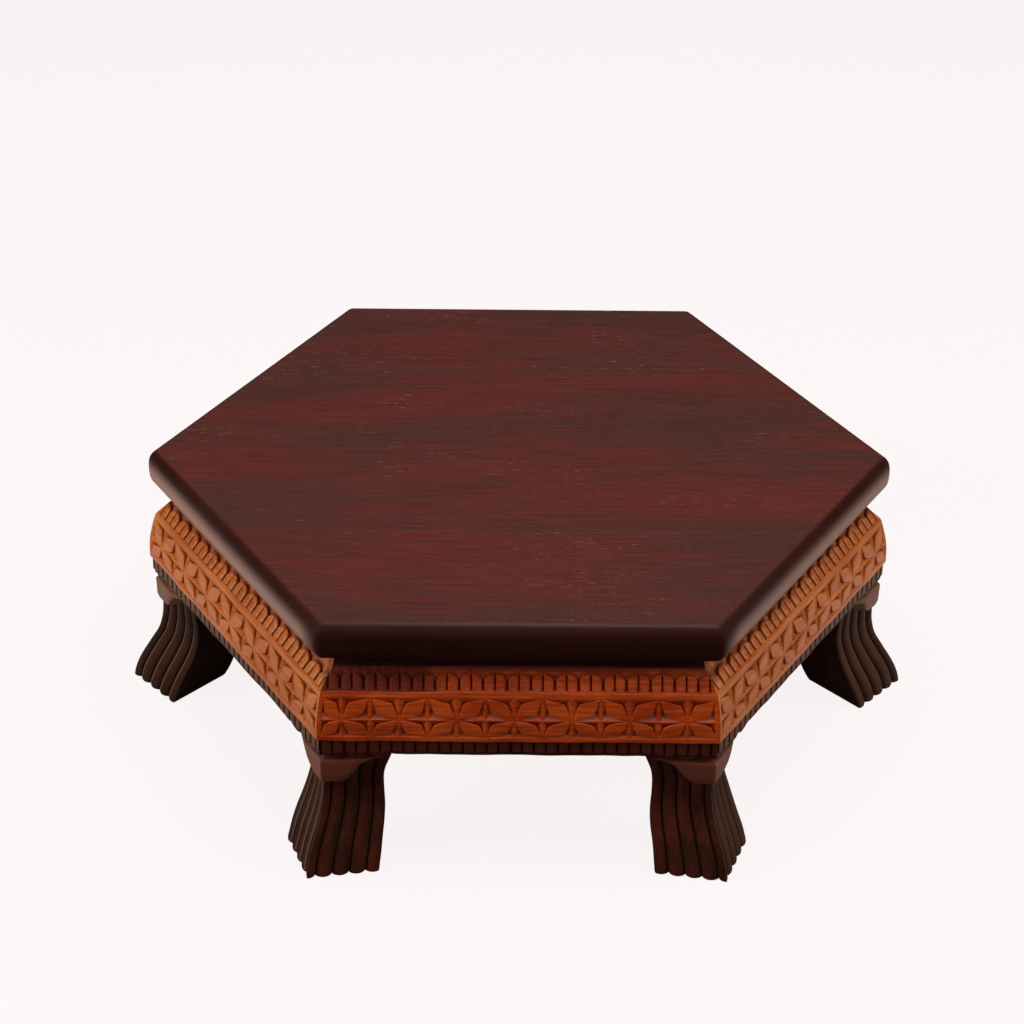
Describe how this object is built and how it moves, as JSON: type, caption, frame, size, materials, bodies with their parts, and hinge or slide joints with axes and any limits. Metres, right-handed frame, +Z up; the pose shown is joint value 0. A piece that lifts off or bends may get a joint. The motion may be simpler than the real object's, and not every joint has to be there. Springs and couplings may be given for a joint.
{
  "type": "low table",
  "caption": "Low hexagonal table with a plank top, a chip-carved frieze of stars and petals, and reeded legs that flare out to the feet.",
  "frame": {"origin": "on the floor under the middle of the table", "axes": "+Z up, +X through two opposite corners, -Y towards the front side"},
  "size_m": [0.6414, 0.5584, 0.2175],
  "materials": {
    "top_wood": "dark mahogany stain under gloss lacquer",
    "leg_wood": "very dark brown stain, semi-gloss",
    "frieze_wood": "red-orange stain under gloss lacquer",
    "plain_wood": "unfinished, sawn",
    "screw_steel": "plain steel"
  },
  "bodies": {
    "root": {"plank_front": "top_wood", "plank_mid_front": "top_wood", "plank_mid_back": "top_wood", "plank_back": "top_wood", "batten_left": "plain_wood", "batten_right": "plain_wood", "top_screw_left_1": "screw_steel", "top_screw_left_2": "screw_steel", "top_screw_left_3": "screw_steel", "top_screw_left_4": "screw_steel", "top_screw_right_1": "screw_steel", "top_screw_right_2": "screw_steel", "top_screw_right_3": "screw_steel", "top_screw_right_4": "screw_steel", "frieze_front": "frieze_wood", "apron_front": "leg_wood", "glue_block_front": "plain_wood", "frieze_front_right": "frieze_wood", "apron_front_right": "leg_wood", "glue_block_front_right": "plain_wood", "frieze_back_right": "frieze_wood", "apron_back_right": "leg_wood", "glue_block_back_right": "plain_wood", "frieze_back": "frieze_wood", "apron_back": "leg_wood", "glue_block_back": "plain_wood", "frieze_back_left": "frieze_wood", "apron_back_left": "leg_wood", "glue_block_back_left": "plain_wood", "frieze_front_left": "frieze_wood", "apron_front_left": "leg_wood", "glue_block_front_left": "plain_wood", "leg_front_right": "leg_wood", "leg_screw_front_right_a": "screw_steel", "leg_screw_front_right_b": "screw_steel", "leg_right": "leg_wood", "leg_screw_right_a": "screw_steel", "leg_screw_right_b": "screw_steel", "leg_back_right": "leg_wood", "leg_screw_back_right_a": "screw_steel", "leg_screw_back_right_b": "screw_steel", "leg_back_left": "leg_wood", "leg_screw_back_left_a": "screw_steel", "leg_screw_back_left_b": "screw_steel", "leg_left": "leg_wood", "leg_screw_left_a": "screw_steel", "leg_screw_left_b": "screw_steel", "leg_front_left": "leg_wood", "leg_screw_front_left_a": "screw_steel", "leg_screw_front_left_b": "screw_steel"}
  },
  "joints": []
}
